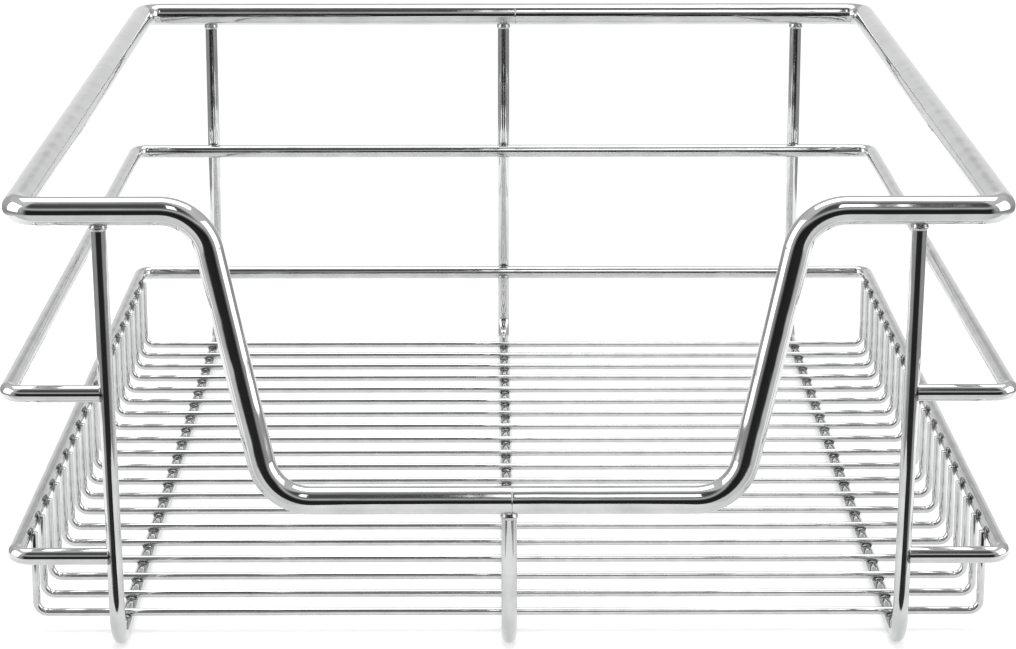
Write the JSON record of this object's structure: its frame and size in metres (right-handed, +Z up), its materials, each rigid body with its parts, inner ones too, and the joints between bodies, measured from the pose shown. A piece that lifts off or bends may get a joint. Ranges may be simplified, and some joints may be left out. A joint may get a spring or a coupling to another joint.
{
  "type": "pull-out cabinet basket",
  "caption": "Welded, chrome-plated wire basket that pulls out of a kitchen cabinet: a thick top rail with a hand dip in front, side rails, and a floor of thin cross wires.",
  "frame": {"origin": "on the surface that the basket stands on, below the middle of its bounding box", "axes": "+X to the right seen from the front, +Y into the cabinet, away from the hand dip, +Z up"},
  "size_m": [0.356, 0.44, 0.165],
  "materials": {
    "top_rail": "bright chrome plating",
    "side_rails": "bright chrome plating",
    "long_wires": "bright chrome plating",
    "cross_wires": "bright chrome plating"
  },
  "bodies": {
    "root": {"top_rail_left": "top_rail", "top_rail_right": "top_rail", "middle_rail": "side_rails", "rim_rail": "side_rails", "long_wire_left": "long_wires", "long_wire_centre": "long_wires", "long_wire_right": "long_wires", "cross_wire_01": "cross_wires", "cross_wire_02": "cross_wires", "cross_wire_03": "cross_wires", "cross_wire_04": "cross_wires", "cross_wire_05": "cross_wires", "cross_wire_06": "cross_wires", "cross_wire_07": "cross_wires", "cross_wire_08": "cross_wires", "cross_wire_09": "cross_wires", "cross_wire_10": "cross_wires", "cross_wire_11": "cross_wires", "cross_wire_12": "cross_wires", "cross_wire_13": "cross_wires", "cross_wire_14": "cross_wires", "cross_wire_15": "cross_wires", "cross_wire_16": "cross_wires", "cross_wire_17": "cross_wires", "cross_wire_18": "cross_wires", "cross_wire_19": "cross_wires", "cross_wire_20": "cross_wires"}
  },
  "joints": []
}
